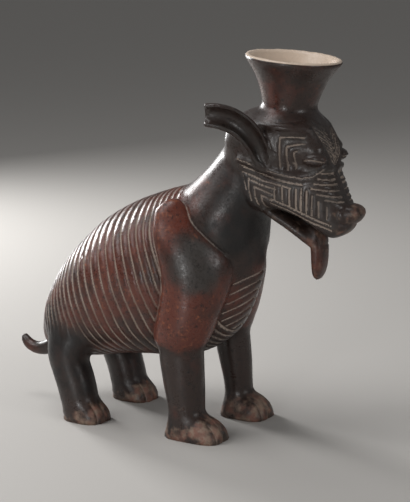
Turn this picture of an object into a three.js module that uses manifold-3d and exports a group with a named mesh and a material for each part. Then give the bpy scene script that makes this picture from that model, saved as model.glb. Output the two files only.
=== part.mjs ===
// A hollow fired-clay vessel in the shape of a standing dog-like animal, with a flared spout on its
// head. Millimetres. +X is forward, +Y is the animal's left and +Z is up. The soles stand on Z = 0.
import * as THREE from 'three';
import { mergeVertices } from 'three/addons/utils/BufferGeometryUtils.js';
import Module from 'manifold-3d';

const wasm = await Module();
wasm.setup();

const DEGREE = Math.PI / 180;
const ACROSS = new THREE.Vector3(0, 1, 0);
const UP = new THREE.Vector3(0, 0, 1);
const CLAY_COLOUR = 0x6b2f22;

// Clay walls
const WALL = 6;
const SPOUT_WALL = 4.6;
const HOLLOW_SIDES = 12;

// Trunk in side view, rear to front: its back and its belly as [x, z], and its half width as [x, y]
const BACK_LINE = [
  [-142, 66], [-141, 82], [-137, 100], [-129, 119], [-117, 139], [-103, 157], [-87, 173],
  [-68, 188], [-47, 200], [-26, 209], [-6, 216], [14, 221], [32, 221], [50, 213], [66, 198],
  [78, 178], [82, 160],
];
const BELLY_LINE = [
  [-142, 66], [-139, 57], [-129, 51], [-110, 49], [-85, 52], [-55, 58], [-25, 61], [5, 64],
  [26, 70], [43, 80], [54, 90], [69, 115], [75, 130], [79, 142], [81.5, 152], [82, 160],
];
const TRUNK_WIDTH = [
  [-142, 0], [-139, 18], [-132, 32], [-120, 45], [-102, 56], [-80, 62.5], [-55, 66], [-30, 67],
  [-5, 65], [20, 58], [40, 48], [52, 39], [62, 29], [70, 20], [76, 13], [80, 7], [82, 0],
];
const TRUNK_SIDES = 18;
const TRUNK_REACH = 130;

// Sheets that cut the trunk lean back at the top. Each is known by its forward place at LEAN_LEVEL
const LEAN = 0.303;
const LEAN_AT_TOP = 0.00124;
const LEAN_LEVEL = 125;
const REAR_SHEETS = [-155, -150, -142, -130];
const FRONT_SHEETS = [44, 60, 75, 86, 92.5];
const HOLLOW_SHEETS = [-142, -134, -115, -80, -30, 20, 55, 75, 83];

// Incised lines round the body. Away from the middle one they close up, until a whole span is past
const LINE_DEPTH = 1.3;
const LINE_HALF_WIDTH = 1.2;
const LINE_MIDDLE = -32.7;
const LINE_PITCH = 9.8;
const LINE_CLOSING = 3.6;
const LINES_BEHIND = { way: -1, count: 11, span: 7 };
const LINES_AHEAD = { way: 1, count: 9, span: 6 };

// Finer strokes on the chest and head
const STROKE_DEPTH = 1.2;
const STROKE_HALF_WIDTH = 0.9;

// Chest strokes fall from the middle to both sides
const CHEST_TOP = 149;
const CHEST_PITCH = 8.4;
const CHEST_STROKES = 7;
const CHEST_FALL = 15;
const CHEST_START = 44;
const CHEST_REACH = 30;
const CHEST_FIRST_SHEET = 30;

// Neck: each section runs from a point of the nape to a point of the throat
const NECK = [
  { upper: [-2, 205], lower: [70, 152], half: 40 },
  { upper: [10, 220], lower: [79, 164], half: 43 },
  { upper: [25, 233], lower: [81, 180], half: 39 },
  { upper: [39, 248], lower: [83, 194], half: 35 },
  { upper: [51, 264], lower: [88, 205], half: 33 },
  { upper: [60, 274], lower: [100, 211], half: 29 },
];
const NECK_SIDES = 20;
const NECK_SQUARENESS = 2.1;

// Skull and muzzle: upright sections, as [x, bottom, top, half width]
const SKULL = [
  [52, 257, 271, 14], [56, 241, 281, 25], [64, 231, 288, 32], [76, 227, 293, 35], [92, 227, 295, 35.5],
  [108, 227, 295, 33.5], [122, 227, 293, 30], [133, 229, 287, 26], [141, 233, 279, 23],
  [147, 239, 268, 19], [150, 245, 259, 12],
];
const SKULL_SQUARENESS = 2.6;
const MUZZLE = [
  [72, 227, 247, 20], [78, 213, 251, 31], [88, 204, 249, 34], [100, 208, 246, 34.5],
  [115, 205, 244, 32.5], [128, 200, 244, 30], [138, 193, 246, 27], [146, 187, 249, 23.5],
  [152, 186, 240, 20], [158, 190, 226, 16.5], [164, 195, 215, 12.5], [167, 198, 209, 7],
];
const MUZZLE_SQUARENESS = 3;
const HEAD_SIDES = 14;

// Strokes on the head as [x, z, x, z] in side view, alike on both sides and clear of its middle
const HEAD_STROKES = [
  [77, 242, 97, 235], [97, 235, 124, 233], [80, 236, 84, 220], [86, 233, 108, 229],
  [87, 230, 92, 212], [116, 229, 116, 215], [124, 229, 123, 213], [132, 228, 131, 211],
  [140, 226, 139, 209], [143, 224, 157, 221.5], [108, 218, 131, 208.5], [131, 208.5, 152, 198],
  [112.5, 271, 112.5, 247], [120, 264, 120, 246],
];
const HEAD_STROKE_START = 4;
const HEAD_STROKE_END = 54;

// Lower jaw and tongue: sections between two points of the side view
const JAW = [
  { upper: [90, 214], lower: [85, 204], half: 20 },
  { upper: [104, 207], lower: [98, 196.5], half: 20 },
  { upper: [116, 200], lower: [110, 189.5], half: 18.5 },
  { upper: [127, 193], lower: [121, 181.5], half: 16 },
  { upper: [135, 187], lower: [130, 175], half: 13 },
  { upper: [138, 183], lower: [136, 175], half: 8 },
];
const TONGUE = [
  { upper: [126, 195], lower: [121, 188], half: 8 },
  { upper: [136, 194.5], lower: [128, 185], half: 9.8 },
  { upper: [141.5, 186], lower: [129, 180], half: 11 },
  { upper: [142.5, 173], lower: [130, 172.5], half: 11 },
  { upper: [142, 161], lower: [130.5, 161], half: 10.8 },
  { upper: [140, 152], lower: [131.5, 152], half: 9.5 },
  { upper: [137.5, 147], lower: [133.5, 147], half: 5 },
];
const JAW_SIDES = 12;
const JAW_SQUARENESS = 2.4;

// Rounded forms on the face. The eye is slit level with its middle
const EYE = { centre: [139, 20, 254.5], radii: [10.5, 6.2, 5.5] };
const EYE_SLIT_DEPTH = 1.6;
const EYE_SLIT_WIDTH = 1.4;
const BROW = { centre: [134.5, 18, 262.5], radii: [12.5, 7, 4.5] };
const NOSE = { centre: [166.5, 0, 207.5], radii: [11, 12.5, 9] };

// Spout: outer radius and height along its axis, up from the head to just below the rim
const SPOUT_PROFILE = [
  [35, -57], [29, -53], [25.2, -48.5], [23.7, -43], [25, -35], [28.6, -24], [33, -15],
  [38.6, -7], [41.4, -3.2], [42.3, -1],
];
const SPOUT_RIM_RADIUS = 40.6;
const SPOUT_ROOT = -66;
const SPOUT_RIM = [109.5, 338.5];
const SPOUT_LEAN = 5;
const SPOUT_SIDES = 20;
const BORE_RADIUS = 19;
const BORE_END = -78;
const BORE_PAST_RIM = 3;

// Ears: the middle line of each curled ear, its radius at each point, and the way its channel faces
const EAR_LINE = [
  [97, 28, 245], [97, 37, 260], [93, 49, 276.5], [84, 59, 287.5], [73, 66, 292], [62, 70, 292.5],
];
const EAR_RADII = [8, 9.5, 10.5, 11, 10.8, 10];
const EAR_FLATNESS = 0.8;
const EAR_FACES = [0.65, 0.76, 0.06];
const EAR_WALL = 3.6;
const EAR_FLOOR = 5.6;
const EAR_CHANNEL_ROOT = 1.5;
const EAR_CHANNEL_AHEAD = 1.1;
const EAR_CHANNEL_PAST_TIP = 3;
const EAR_SIDES = 12;
const EAR_CHANNEL_SIDES = 10;

// Shoulders and legs: level sections as [z, x, y, half length, half width, slant in degrees]
const FRONT_LEG = [
  [212, 13.5, 40, 5, 4, 39], [206, 12.5, 40, 13, 10, 39], [196, 15.3, 38, 20, 15, 39],
  [180, 26, 36, 31, 20.5, 39], [163, 33.6, 35, 35.4, 23.5, 39], [145, 34.3, 35, 34, 26, 38],
  [128, 30.8, 35.5, 31.5, 27.5, 33], [112, 26.7, 36.5, 29.2, 28.5, 26], [97, 23.2, 39, 26.9, 27, 16],
  [84, 21.1, 40.5, 24, 23.5, 6], [68, 22.3, 41, 20.8, 20, 0], [50, 24.7, 42, 18.8, 18.4, 0],
  [33, 27, 42, 16.8, 17, 0], [7, 29, 42, 16.5, 16.5, 0],
];
const HIND_LEG = [
  [102, -88, 27, 15, 14, 0], [88, -93, 34, 23, 20, 0], [72, -96.5, 38, 22, 21, 0],
  [56, -97.5, 42, 18.8, 19, 0], [42, -93, 42, 18.7, 18.5, 0], [30, -89, 42, 18.2, 18, 0],
  [17, -86, 42, 17.5, 17.5, 0], [7, -84, 42, 17, 17, 0],
];
const LEG_SIDES = 12;

// The left foreleg stands a little ahead of the right one and is slimmer, below this level
const LEFT_LEG_TOP = 95;
const LEFT_LEG_CHANGE = 20;
const LEFT_LEG_FORWARD = 6;
const LEFT_LEG_SLIMMER = 3.5;
const LEFT_PAW_SHORTER = 0.82;

// Paws: cross sections from heel to tip, as [x, height, half width], flat below
const FRONT_PAW = [
  [10, 8, 10], [15, 18, 15], [26, 23, 17.5], [40, 23, 18.5], [52, 19, 18.5], [60, 14, 16], [65, 8, 11.5],
];
const HIND_PAW = [
  [-99, 7, 9], [-94, 15, 14], [-85, 21, 17], [-74, 21, 18], [-66, 16, 17], [-61, 11, 13.5], [-58, 5, 8],
];
const PAW_SIDES = 9;
const PAW_CENTRE = 42;
const PAW_SPREAD_POWER = 0.7;
const PAW_RISE_POWER = 0.8;
const TOE_LINES = [-5.5, 5.5];
const TOE_LENGTH = 14;
const TOE_LINE_TOP = 30;

// Tail: a short stub that turns up, as [x, z, radius]
const TAIL = [
  [-130, 60, 10], [-145, 52, 7.5], [-156, 48, 6], [-165, 48, 5.4], [-172, 51, 5], [-176, 56, 3.8],
  [-177, 59, 2],
];
const TAIL_SIDES = 8;

const BULB_SIDES = 8;
const BULB_RINGS = 5;

// Edges shorter than this are merged at the end
const SHORTEST_EDGE = 0.3;

// A smooth curve through [input, output] points with rising inputs
function curve(points) {
  const last = points.length - 1;
  const slope = (a, b) => (points[b][1] - points[a][1]) / (points[b][0] - points[a][0]);
  return (input) => {
    if (input <= points[0][0]) return points[0][1];
    if (input >= points[last][0]) return points[last][1];
    let i = 0;
    while (points[i + 1][0] < input) i += 1;
    const [x0, y0] = points[i];
    const [x1, y1] = points[i + 1];
    const s0 = slope(Math.max(i - 1, 0), i + 1);
    const s1 = slope(i, Math.min(i + 2, last));
    const span = x1 - x0;
    const t = (input - x0) / span;
    const t2 = t * t;
    const t3 = t2 * t;
    return y0 * (2 * t3 - 3 * t2 + 1) + s0 * span * (t3 - 2 * t2 + t)
      + y1 * (3 * t2 - 2 * t3) + s1 * span * (t3 - t2);
  };
}

// A manifold solid from points and triangles, turned so that its faces point out
function solid(points, faces) {
  let volume = 0;
  for (const [a, b, c] of faces) {
    volume += points[a].dot(new THREE.Vector3().crossVectors(points[b], points[c]));
  }
  const order = volume < 0 ? faces.map(([a, b, c]) => [a, c, b]) : faces;
  return new wasm.Manifold(new wasm.Mesh({
    numProp: 3,
    vertProperties: new Float32Array(points.flatMap((p) => [p.x, p.y, p.z])),
    triVerts: new Uint32Array(order.flat()),
  }));
}

// A closed skin over rings of equal count, with a fan over each end
function skin(rings) {
  const count = rings[0].length;
  const points = rings.flat();
  const faces = [];
  for (let r = 0; r + 1 < rings.length; r += 1) {
    for (let i = 0; i < count; i += 1) {
      const a = r * count + i;
      const b = r * count + (i + 1) % count;
      faces.push([a, b, b + count], [a, b + count, a + count]);
    }
  }
  const middle = (ring) => ring.reduce((sum, p) => sum.add(p), new THREE.Vector3()).divideScalar(count);
  const first = points.push(middle(rings[0])) - 1;
  const last = points.push(middle(rings[rings.length - 1])) - 1;
  const end = (rings.length - 1) * count;
  for (let i = 0; i < count; i += 1) {
    const j = (i + 1) % count;
    faces.push([first, j, i], [last, end + i, end + j]);
  }
  return solid(points, faces);
}

// A manifold solid from a closed three.js geometry
function fromGeometry(geometry) {
  const plain = geometry.clone();
  plain.deleteAttribute('normal');
  plain.deleteAttribute('uv');
  const merged = mergeVertices(plain, 1e-4);
  return new wasm.Manifold(new wasm.Mesh({
    numProp: 3,
    vertProperties: new Float32Array(merged.attributes.position.array),
    triVerts: new Uint32Array(merged.index.array),
  }));
}

// An oval ring that starts at an angle: squareness 2 is an ellipse, and more is squarer
function oval(centre, across, up, halfWidth, halfHeight, count, squareness = 2, start = 0) {
  const ring = [];
  for (let i = 0; i < count; i += 1) {
    const angle = start + 2 * Math.PI * i / count;
    const c = Math.cos(angle);
    const s = Math.sin(angle);
    const w = Math.sign(c) * Math.abs(c) ** (2 / squareness) * halfWidth;
    const h = Math.sign(s) * Math.abs(s) ** (2 / squareness) * halfHeight;
    ring.push(centre.clone().addScaledVector(across, w).addScaledVector(up, h));
  }
  return ring;
}

// A form whose sections each run between two points of the side view
function betweenPoints(sections, inset, count, squareness) {
  return skin(sections.map(({ upper, lower, half }) => {
    const top = new THREE.Vector3(upper[0], 0, upper[1]);
    const bottom = new THREE.Vector3(lower[0], 0, lower[1]);
    const centre = top.clone().add(bottom).multiplyScalar(0.5);
    const up = top.clone().sub(bottom);
    const halfHeight = up.length() / 2;
    up.normalize();
    return oval(centre, ACROSS, up, half - inset, halfHeight - inset, count, squareness);
  }));
}

// A form with upright sections
function upright(sections, inset, count, squareness) {
  return skin(sections.map(([x, bottom, top, half]) => {
    const centre = new THREE.Vector3(x, 0, (top + bottom) / 2);
    return oval(centre, ACROSS, UP, half - inset, (top - bottom) / 2 - inset, count, squareness);
  }));
}

// A turned form along Z, from [radius, height] points
function turned(profile, count) {
  const outline = profile.map(([radius, height]) => new THREE.Vector2(radius, height));
  return fromGeometry(new THREE.LatheGeometry(outline, count).rotateX(Math.PI / 2));
}

// What bars cut from a form, down to the same form drawn in by the depth of a stroke
function strokes(bars, drawnIn) {
  return wasm.Manifold.union(bars).subtract(drawnIn);
}

// Trunk
const backAt = curve(BACK_LINE);
const bellyAt = curve(BELLY_LINE);
const widthAt = curve(TRUNK_WIDTH);

// Whether a point is inside the trunk drawn in by inset
function inTrunk({ x, y, z }, inset) {
  const top = backAt(x) - inset;
  const bottom = bellyAt(x) + inset;
  const half = widthAt(x) - inset;
  if (top <= bottom || half <= 0) return false;
  const height = (top - bottom) / 2;
  const level = (top + bottom) / 2;
  return ((z - level) / height) ** 2 + (y / half) ** 2 < 1;
}

// Forward place of a sheet at a height
function sheetX(place, z) {
  const rise = z - LEAN_LEVEL;
  return place - LEAN * rise - LEAN_AT_TOP * Math.max(rise, 0) ** 2;
}

// The ring in which a sheet cuts the trunk
function trunkRing(place, inset, count) {
  let level = LEAN_LEVEL;
  for (let i = 0; i < 60; i += 1) {
    const x = sheetX(place, level);
    level += 0.5 * ((backAt(x) + bellyAt(x)) / 2 - level);
  }
  const ring = [];
  for (let i = 0; i < count; i += 1) {
    const angle = 2 * Math.PI * i / count;
    const at = (reach) => {
      const z = level + reach * Math.sin(angle);
      return new THREE.Vector3(sheetX(place, z), reach * Math.cos(angle), z);
    };
    let low = 0;
    let high = TRUNK_REACH;
    for (let step = 0; step < 30; step += 1) {
      const middle = (low + high) / 2;
      if (inTrunk(at(middle), inset)) low = middle;
      else high = middle;
    }
    ring.push(at(low));
  }
  return ring;
}

// Places of the incised lines, rear to front
function linePlaces() {
  const places = [LINE_MIDDLE];
  for (const { way, count, span } of [LINES_BEHIND, LINES_AHEAD]) {
    let place = LINE_MIDDLE;
    for (let k = 0; k < count; k += 1) {
      const closing = Math.min(1, ((k + 0.5) / span) ** 2);
      place += way * (LINE_PITCH - LINE_CLOSING * closing);
      places.push(place);
    }
  }
  return places.sort((a, b) => a - b);
}

function chestStrokes() {
  const bars = [];
  for (let k = 0; k < CHEST_STROKES; k += 1) {
    for (const side of [-1, 1]) {
      bars.push(wasm.Manifold.cube([2 * CHEST_REACH, CHEST_REACH, 2 * STROKE_HALF_WIDTH])
        .translate([CHEST_START, side > 0 ? 0 : -CHEST_REACH, -STROKE_HALF_WIDTH])
        .rotate([-side * CHEST_FALL, 0, 0])
        .translate([0, 0, CHEST_TOP - k * CHEST_PITCH]));
    }
  }
  const sheets = [CHEST_FIRST_SHEET, ...FRONT_SHEETS];
  return strokes(bars, skin(sheets.map((place) => trunkRing(place, STROKE_DEPTH, TRUNK_SIDES))));
}

function trunk() {
  const rings = REAR_SHEETS.map((place) => trunkRing(place, 0, TRUNK_SIDES));
  for (const place of linePlaces()) {
    rings.push(trunkRing(place - LINE_HALF_WIDTH, 0, TRUNK_SIDES));
    rings.push(trunkRing(place, LINE_DEPTH, TRUNK_SIDES));
    rings.push(trunkRing(place + LINE_HALF_WIDTH, 0, TRUNK_SIDES));
  }
  rings.push(...FRONT_SHEETS.map((place) => trunkRing(place, 0, TRUNK_SIDES)));
  return skin(rings).subtract(chestStrokes());
}

function trunkHollow() {
  return skin(HOLLOW_SHEETS.map((place) => trunkRing(place, WALL, HOLLOW_SIDES)));
}

// Head
function headForm(inset) {
  return upright(SKULL, inset, HEAD_SIDES, SKULL_SQUARENESS)
    .add(upright(MUZZLE, inset, HEAD_SIDES, MUZZLE_SQUARENESS));
}

function headBar([x0, z0, x1, z1], side) {
  const reach = HEAD_STROKE_END - HEAD_STROKE_START;
  return wasm.Manifold.cube([Math.hypot(x1 - x0, z1 - z0), reach, 2 * STROKE_HALF_WIDTH])
    .translate([0, side > 0 ? HEAD_STROKE_START : -HEAD_STROKE_END, -STROKE_HALF_WIDTH])
    .rotate([0, -Math.atan2(z1 - z0, x1 - x0) / DEGREE, 0])
    .translate([x0, 0, z0]);
}

function head() {
  const bars = HEAD_STROKES.flatMap((stroke) => [headBar(stroke, -1), headBar(stroke, 1)]);
  return headForm(0).subtract(strokes(bars, headForm(STROKE_DEPTH)));
}

function headHollow() {
  const inner = SKULL.filter(([, bottom, top]) => top - bottom > 5 * WALL);
  return upright(inner, WALL, HOLLOW_SIDES, SKULL_SQUARENESS);
}

// Rounded forms
function bulb({ centre, radii }, side) {
  const ball = fromGeometry(new THREE.SphereGeometry(1, BULB_SIDES, BULB_RINGS));
  return ball.scale(radii).translate([centre[0], side * centre[1], centre[2]]);
}

function eye(side) {
  const [x, y, z] = EYE.centre;
  const [length, width] = EYE.radii;
  const face = y + width - EYE_SLIT_DEPTH;
  const slit = wasm.Manifold.cube([2 * length, 2 * width, EYE_SLIT_WIDTH])
    .translate([x - length, side > 0 ? face : -face - 2 * width, z - EYE_SLIT_WIDTH / 2]);
  return bulb(EYE, side).subtract(slit);
}

// Spout
function placeSpout(shape) {
  return shape.rotate([0, SPOUT_LEAN, 0]).translate([SPOUT_RIM[0], 0, SPOUT_RIM[1]]);
}

function spout() {
  const root = [[0, SPOUT_ROOT], [SPOUT_PROFILE[0][0], SPOUT_ROOT]];
  const rim = [[SPOUT_RIM_RADIUS, 0], [0, 0]];
  return placeSpout(turned([...root, ...SPOUT_PROFILE, ...rim], SPOUT_SIDES));
}

function spoutBore() {
  const root = [[0, BORE_END], [BORE_RADIUS, BORE_END]];
  const wall = SPOUT_PROFILE.slice(3).map(([radius, height]) => [radius - SPOUT_WALL, height]);
  const lip = SPOUT_RIM_RADIUS - SPOUT_WALL / 2;
  const past = [[lip, BORE_PAST_RIM], [0, BORE_PAST_RIM]];
  return placeSpout(turned([...root, ...wall, ...past], SPOUT_SIDES));
}

// Ears
function ear(side) {
  const points = EAR_LINE.map(([x, y, z]) => new THREE.Vector3(x, side * y, z));
  const line = new THREE.CatmullRomCurve3(points);
  const faces = new THREE.Vector3(EAR_FACES[0], side * EAR_FACES[1], EAR_FACES[2]);
  const last = points.length - 1;
  const outer = [];
  const channel = [];
  points.forEach((point, i) => {
    const along = line.getTangent(i / last);
    const out = faces.clone().addScaledVector(along, -faces.dot(along)).normalize();
    const over = new THREE.Vector3().crossVectors(along, out);
    const half = EAR_RADII[i];
    const depth = half * EAR_FLATNESS;
    outer.push(oval(point, over, out, half, depth, EAR_SIDES));
    const ahead = i === last ? EAR_CHANNEL_PAST_TIP : EAR_CHANNEL_AHEAD;
    const centre = point.clone().addScaledVector(out, EAR_FLOOR).addScaledVector(along, ahead);
    const room = i === 0 ? EAR_CHANNEL_ROOT : half - EAR_WALL;
    channel.push(oval(centre, over, out, room, depth, EAR_CHANNEL_SIDES));
  });
  return skin(outer).subtract(skin(channel));
}

// Legs
function leg(sections, side) {
  return skin(sections.map(([z, x, y, length, width, slant]) => {
    const isLeftFore = side > 0 && x > 0;
    const change = isLeftFore ? Math.min(1, Math.max(0, (LEFT_LEG_TOP - z) / LEFT_LEG_CHANGE)) : 0;
    const turn = slant * DEGREE;
    const along = new THREE.Vector3(Math.cos(turn), -side * Math.sin(turn), 0);
    const out = new THREE.Vector3(Math.sin(turn), side * Math.cos(turn), 0);
    const centre = new THREE.Vector3(x + change * LEFT_LEG_FORWARD, side * y, z);
    const slim = change * LEFT_LEG_SLIMMER;
    return oval(centre, along, out, length - slim, width - slim, LEG_SIDES, 2, turn);
  }));
}

// Paws: half ovals that stand flat on the floor
function pawForm(sections, side, stretch, inset) {
  const tip = sections[sections.length - 1][0];
  return skin(sections.map(([x, height, half]) => {
    const ring = [];
    for (let i = 0; i < PAW_SIDES; i += 1) {
      const angle = Math.PI * i / (PAW_SIDES - 1);
      const spread = Math.sign(Math.cos(angle)) * Math.abs(Math.cos(angle)) ** PAW_SPREAD_POWER;
      const rise = Math.max(0, Math.sin(angle)) ** PAW_RISE_POWER;
      const y = side * (PAW_CENTRE + (half - inset) * spread);
      ring.push(new THREE.Vector3(tip + (x - tip) * stretch - inset, y, (height - inset) * rise));
    }
    return ring;
  }));
}

function paw(sections, side, stretch) {
  const tip = sections[sections.length - 1][0];
  const bars = TOE_LINES.map((y) => wasm.Manifold
    .cube([2 * TOE_LENGTH, 2 * STROKE_HALF_WIDTH, TOE_LINE_TOP])
    .translate([tip - TOE_LENGTH, side * PAW_CENTRE + y - STROKE_HALF_WIDTH, STROKE_DEPTH]));
  const cuts = strokes(bars, pawForm(sections, side, stretch, STROKE_DEPTH));
  return pawForm(sections, side, stretch, 0).subtract(cuts);
}

// Tail
function tail() {
  return skin(TAIL.map(([x, z, radius], i) => {
    const next = TAIL[Math.min(i + 1, TAIL.length - 1)];
    const before = TAIL[Math.max(i - 1, 0)];
    const along = new THREE.Vector3(next[0] - before[0], 0, next[1] - before[1]).normalize();
    const up = new THREE.Vector3().crossVectors(ACROSS, along);
    return oval(new THREE.Vector3(x, 0, z), ACROSS, up, radius, radius, TAIL_SIDES);
  }));
}

function outside() {
  const forms = [
    trunk(),
    betweenPoints(NECK, 0, NECK_SIDES, NECK_SQUARENESS),
    head(),
    betweenPoints(JAW, 0, JAW_SIDES, JAW_SQUARENESS),
    betweenPoints(TONGUE, 0, JAW_SIDES, JAW_SQUARENESS),
    bulb(NOSE, 1),
    spout(),
    tail(),
  ];
  for (const side of [-1, 1]) {
    const stretch = side > 0 ? LEFT_PAW_SHORTER : 1;
    forms.push(ear(side), eye(side), bulb(BROW, side));
    forms.push(leg(FRONT_LEG, side), paw(FRONT_PAW, side, stretch));
    forms.push(leg(HIND_LEG, side), paw(HIND_PAW, side, 1));
  }
  return forms.reduce((whole, form) => whole.add(form));
}

function hollow() {
  const neckHollow = betweenPoints(NECK, WALL, HOLLOW_SIDES, NECK_SQUARENESS);
  return trunkHollow().add(neckHollow).add(headHollow()).add(spoutBore());
}

// The largest body of a shape, without the specks that crossing cuts can leave
function largest(shape) {
  return shape.decompose().reduce((best, body) => (body.volume() > best.volume() ? body : best));
}

function toMesh(name, shape, material) {
  const raw = shape.getMesh();
  const geometry = new THREE.BufferGeometry();
  geometry.setAttribute('position', new THREE.BufferAttribute(new Float32Array(raw.vertProperties), 3));
  geometry.setIndex(new THREE.BufferAttribute(new Uint32Array(raw.triVerts), 1));
  geometry.computeVertexNormals();
  const mesh = new THREE.Mesh(geometry, material);
  mesh.name = name;
  return mesh;
}

const clay = new THREE.MeshStandardMaterial({ color: CLAY_COLOUR, roughness: 0.4, metalness: 0 });
const vessel = new THREE.Group();
vessel.add(toMesh('vessel', largest(outside().subtract(hollow()).simplify(SHORTEST_EDGE)), clay));

export default vessel;
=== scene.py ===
import math

import bpy
import numpy as np
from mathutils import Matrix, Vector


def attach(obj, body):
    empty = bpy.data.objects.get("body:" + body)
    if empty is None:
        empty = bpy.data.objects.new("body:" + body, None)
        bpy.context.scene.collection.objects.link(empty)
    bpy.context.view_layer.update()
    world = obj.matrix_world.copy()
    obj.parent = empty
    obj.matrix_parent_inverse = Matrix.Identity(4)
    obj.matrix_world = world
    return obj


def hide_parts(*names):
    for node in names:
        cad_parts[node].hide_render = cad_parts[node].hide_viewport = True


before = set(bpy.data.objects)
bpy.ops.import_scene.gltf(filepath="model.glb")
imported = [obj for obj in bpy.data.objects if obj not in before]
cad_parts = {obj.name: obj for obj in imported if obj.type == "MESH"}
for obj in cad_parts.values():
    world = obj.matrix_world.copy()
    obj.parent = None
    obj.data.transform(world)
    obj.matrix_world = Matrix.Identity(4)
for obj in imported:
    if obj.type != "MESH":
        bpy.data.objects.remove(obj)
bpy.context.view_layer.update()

import openvdb

# Trunk: an egg of coil-built clay, widest behind the shoulders and drawn out to a keel at the chest.
# The whole vessel is one hollow fired piece, worked up here in millimetres as a block of clay: each
# grain of the block holds its depth, below 0 inside the clay, and each form is joined to it in turn.
GRAIN = 0.8
BLOCK_LOW = np.array([-184.0, -82.0, -4.0])
BLOCK_HIGH = np.array([184.0, 82.0, 346.0])
DEEPEST = 10.0
WALL = 6.0

block_size = np.ceil((BLOCK_HIGH - BLOCK_LOW) / GRAIN).astype(int) + 1
clay = np.full(block_size, DEEPEST, dtype=np.float32)
hollow = np.full(block_size, DEEPEST, dtype=np.float32)
# This pale share holds the earth left in the incised lines and the painted edge highlight along the top and back of the
# shoulder seams.
chalk_and_highlight = np.zeros(block_size, dtype=np.float32)
maker = np.zeros(block_size, dtype=np.int8)
FORMS = ["trunk", "neck", "head", "shoulder", "haunch", "paw", "spout", "ear", "jaw", "tongue",
         "eye", "nose", "tail", "inside"]


def places_in(area):
    """The places of the grains in a part of the block."""
    x, y, z = [(BLOCK_LOW[k] + GRAIN * np.arange(area[k].start, area[k].stop)).astype(np.float32) for k in range(3)]
    return x[:, None, None], y[None, :, None], z[None, None, :]


def work_area(low, high):
    """The part of the block between two corners, and the places of its grains."""
    first = np.maximum(np.floor((np.array(low) - BLOCK_LOW) / GRAIN).astype(int), 0)
    last = np.minimum(np.ceil((np.array(high) - BLOCK_LOW) / GRAIN).astype(int) + 1, block_size)
    area = tuple(slice(int(a), int(b)) for a, b in zip(first, last))
    return area, *places_in(area)


def ring_skin(rings):
    """A closed skin over rings of points, with a fan over each end."""
    count, sides, _ = rings.shape
    points = np.concatenate([rings.reshape(-1, 3), rings[:1].mean(axis=1), rings[-1:].mean(axis=1)])
    a = (np.arange(count - 1)[:, None] * sides + np.arange(sides)).ravel()
    b = (np.arange(count - 1)[:, None] * sides + np.roll(np.arange(sides), -1)).ravel()
    quads = np.stack([a, b, b + sides, a + sides], axis=1)
    i, j = np.arange(sides), np.roll(np.arange(sides), -1)
    last = (count - 1) * sides
    fans = np.concatenate([
        np.stack([np.full(sides, count * sides), j, i], axis=1),
        np.stack([np.full(sides, count * sides + 1), last + i, last + j], axis=1)])
    return points, quads, fans


def depth_of(rings):
    """The part of the block round a form, and the depth of each of its grains below the form's skin."""
    points, quads, fans = ring_skin(rings)
    area, *_ = work_area(points.min(axis=0) - DEEPEST, points.max(axis=0) + DEEPEST)
    form = openvdb.FloatGrid.createLevelSetFromPolygons(
        (points - BLOCK_LOW).astype(np.float32), triangles=fans.astype(np.uint32),
        quads=quads.astype(np.uint32), transform=openvdb.createLinearTransform(voxelSize=GRAIN),
        halfWidth=DEEPEST / GRAIN)
    depth = np.empty([part.stop - part.start for part in area], dtype=np.float32)
    form.copyToArray(depth, ijk=tuple(part.start for part in area))
    return area, depth


def oval(count, squareness):
    """Places round an oval, as a share of its half width and half height."""
    angle = np.linspace(0, 2 * np.pi, count, endpoint=False)
    c, s = np.cos(angle), np.sin(angle)
    return np.sign(c) * np.abs(c) ** (2 / squareness), np.sign(s) * np.abs(s) ** (2 / squareness)


def share_of(first, second, reach):
    return np.clip(0.5 + 0.5 * (second - first) / reach, 0, 1)


def join(area, depth, reach, form, new_chalk=0.0, seam=0.0, seam_highlight=0.0):
    """Press a form onto the clay. The joint is smoothed over a reach, and a seam may be left in it, pale with earth and
    a painted highlight.
    """
    old = clay[area]
    share = share_of(old, depth, reach)
    joint = np.clip(1 - np.abs(depth - old) / 2.0, 0, 1) if seam else 0.0
    maker[area] = np.where(depth < old, FORMS.index(form), maker[area])
    chalk_and_highlight[area] = np.maximum(chalk_and_highlight[area] * share + new_chalk * (1 - share), joint * seam_highlight)
    clay[area] = depth + (old - depth) * share - reach * share * (1 - share) + seam * joint


def dig(area, depth, reach):
    """Leave a form hollow."""
    old = hollow[area]
    share = share_of(old, depth, reach)
    hollow[area] = depth + (old - depth) * share - reach * share * (1 - share)


def drawn_line(points, softness):
    """A hand-drawn line through points, as a function of their first number."""
    inputs_at, outputs = (np.array(column, dtype=float) for column in zip(*points))
    slopes = np.gradient(outputs, inputs_at)
    inputs = np.linspace(inputs_at[0], inputs_at[-1], 800)
    k = np.clip(np.searchsorted(inputs_at, inputs) - 1, 0, len(points) - 2)
    span = inputs_at[k + 1] - inputs_at[k]
    t = (inputs - inputs_at[k]) / span
    drawn = (outputs[k] * (2 * t ** 3 - 3 * t ** 2 + 1) + slopes[k] * span * (t ** 3 - 2 * t ** 2 + t)
             + outputs[k + 1] * (3 * t ** 2 - 2 * t ** 3) + slopes[k + 1] * span * (t ** 3 - t ** 2))
    step = inputs[1] - inputs[0]
    reach = int(3 * softness / step) + 1
    weights = np.exp(-0.5 * (np.arange(-reach, reach + 1) * step / softness) ** 2)
    before = 2 * drawn[0] - drawn[reach:0:-1]
    after = 2 * drawn[-1] - drawn[-2:-reach - 2:-1]
    smooth = np.convolve(np.concatenate([before, drawn, after]), weights / weights.sum(), mode="valid")
    return lambda value: np.interp(value, inputs, smooth)


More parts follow.
